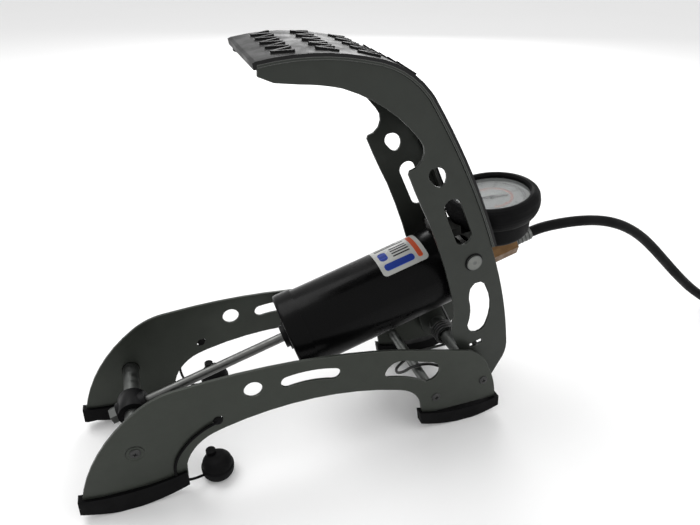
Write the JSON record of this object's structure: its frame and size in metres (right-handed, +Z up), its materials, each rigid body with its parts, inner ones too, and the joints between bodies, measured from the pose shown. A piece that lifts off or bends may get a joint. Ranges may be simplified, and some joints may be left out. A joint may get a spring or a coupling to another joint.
{
  "type": "foot air pump",
  "caption": "Single-cylinder foot air pump: a sheet-steel pedal on a low base drives a black barrel over its rod, with a round pressure gauge and a hose ending in a valve chuck.",
  "frame": {"origin": "on the floor, in the middle of the pump's box as it stands on its four feet, without its hose and caps", "axes": "+X from the front feet to the rear feet and the gauge, +Y to the pump's far side, +Z up"},
  "size_m": [0.6549, 0.1999, 0.2722],
  "materials": {
    "plate_paint": "satin dark silver-grey stove enamel",
    "lever_paint": "satin dark silver-grey stove enamel",
    "black_paint": "gloss black stove enamel",
    "black_rubber": "moulded rubber, slightly dull",
    "hose_rubber": "smooth extruded rubber, faint sheen",
    "zinc_steel": "bright zinc plate",
    "spring_steel": "oil-blackened spring wire",
    "rod_chrome": "hard chrome on the piston rod",
    "cast_alloy": "die-cast alloy, painted dark",
    "brass": "turned brass",
    "black_plastic": "moulded nylon",
    "dial_face": "printed white tin",
    "needle_paint": "thin black enamel",
    "clear_lens": "clear window",
    "sticker": "glossy printed film"
  },
  "bodies": {
    "base": {"side_plate_near": "plate_paint", "side_plate_far": "plate_paint", "front_foot_near": "black_rubber", "front_foot_far": "black_rubber", "rear_foot_near": "black_rubber", "rear_foot_far": "black_rubber", "front_axle_screws": "zinc_steel", "pivot_axle": "zinc_steel", "pivot_screws": "zinc_steel", "spring_anchor_bar": "zinc_steel", "anchor_screws": "zinc_steel", "return_spring": "spring_steel", "tether_near": "black_rubber", "tether_far": "black_rubber", "storage_cap_near": "black_rubber", "storage_cap_far": "black_rubber"},
    "pedal_arm": {"lever_flange_near": "lever_paint", "lever_flange_far": "lever_paint", "pedal_web": "lever_paint", "tread_pad": "black_rubber", "pivot_sleeve": "zinc_steel", "trunnion_pin": "zinc_steel"},
    "rod_group": {"front_cross_tube": "zinc_steel", "rod_bush": "black_plastic", "piston_rod": "rod_chrome", "rod_nut": "zinc_steel", "piston": "cast_alloy", "piston_cup": "black_rubber", "piston_nut": "zinc_steel"},
    "cylinder": {"barrel": "black_paint", "front_collar": "black_paint", "rod_gland": "black_plastic", "cylinder_head": "cast_alloy", "head_seal": "black_rubber", "check_valve_ball": "zinc_steel", "check_valve_spring": "spring_steel", "outlet_fitting": "brass", "gauge_stem": "brass", "gauge_boot": "black_rubber", "gauge_case": "zinc_steel", "gauge_dial": "dial_face", "gauge_lens": "clear_lens", "label": "sticker", "hose_ferrule": "zinc_steel", "hose": "hose_rubber"},
    "needle": {"gauge_needle": "needle_paint"},
    "hose_end": {"hose_coil": "hose_rubber", "hose_tail": "hose_rubber", "chuck_sleeve": "black_plastic", "chuck_body": "black_plastic", "chuck_seal": "black_rubber", "chuck_pin": "zinc_steel"},
    "thumb_lever": {"chuck_lever": "black_plastic"}
  },
  "joints": [
    {"name": "pedal_press", "type": "hinge", "parent": "base", "child": "pedal_arm", "pos_m": [0.116, 0, 0.033], "axis": [0, -1, 0], "range_deg": [0, 40], "stiffness_Nm_per_rad": 3, "springref_deg": -20.05, "deforming": ["return_spring"]},
    {"name": "rod_swing", "type": "hinge", "parent": "base", "child": "rod_group", "pos_m": [-0.1274, 0, 0.0446], "axis": [0, -1, 0], "range_deg": [-3.2, 0]},
    {"name": "barrel_slide", "type": "slide", "parent": "rod_group", "child": "cylinder", "axis": [0.9563, 0, 0.2924], "range_m": [-0.069, 0]},
    {"name": "hose_trail", "type": "slide", "parent": "cylinder", "child": "hose_end", "axis": [0.7913, 0, 0.6114], "range_m": [0, 0.0852], "deforming": ["hose"]},
    {"name": "needle_turn", "type": "hinge", "parent": "cylinder", "child": "needle", "pos_m": [0.13103, 0, 0.16132], "axis": [0.1564, 0, -0.9877], "range_deg": [0, 270], "stiffness_Nm_per_rad": 0.00002, "springref_deg": -11.46},
    {"name": "chuck_lever_turn", "type": "hinge", "parent": "hose_end", "child": "thumb_lever", "pos_m": [0.48, -0.1145, 0.0195], "axis": [1, 0, 0], "range_deg": [0, 85]}
  ],
  "couplings": [
    {"joint": "rod_swing", "follows": "pedal_press", "ratio": -0.0773},
    {"joint": "barrel_slide", "follows": "pedal_press", "m_per_rad": -0.09844},
    {"joint": "hose_trail", "follows": "pedal_press", "m_per_rad": 0.12143}
  ]
}
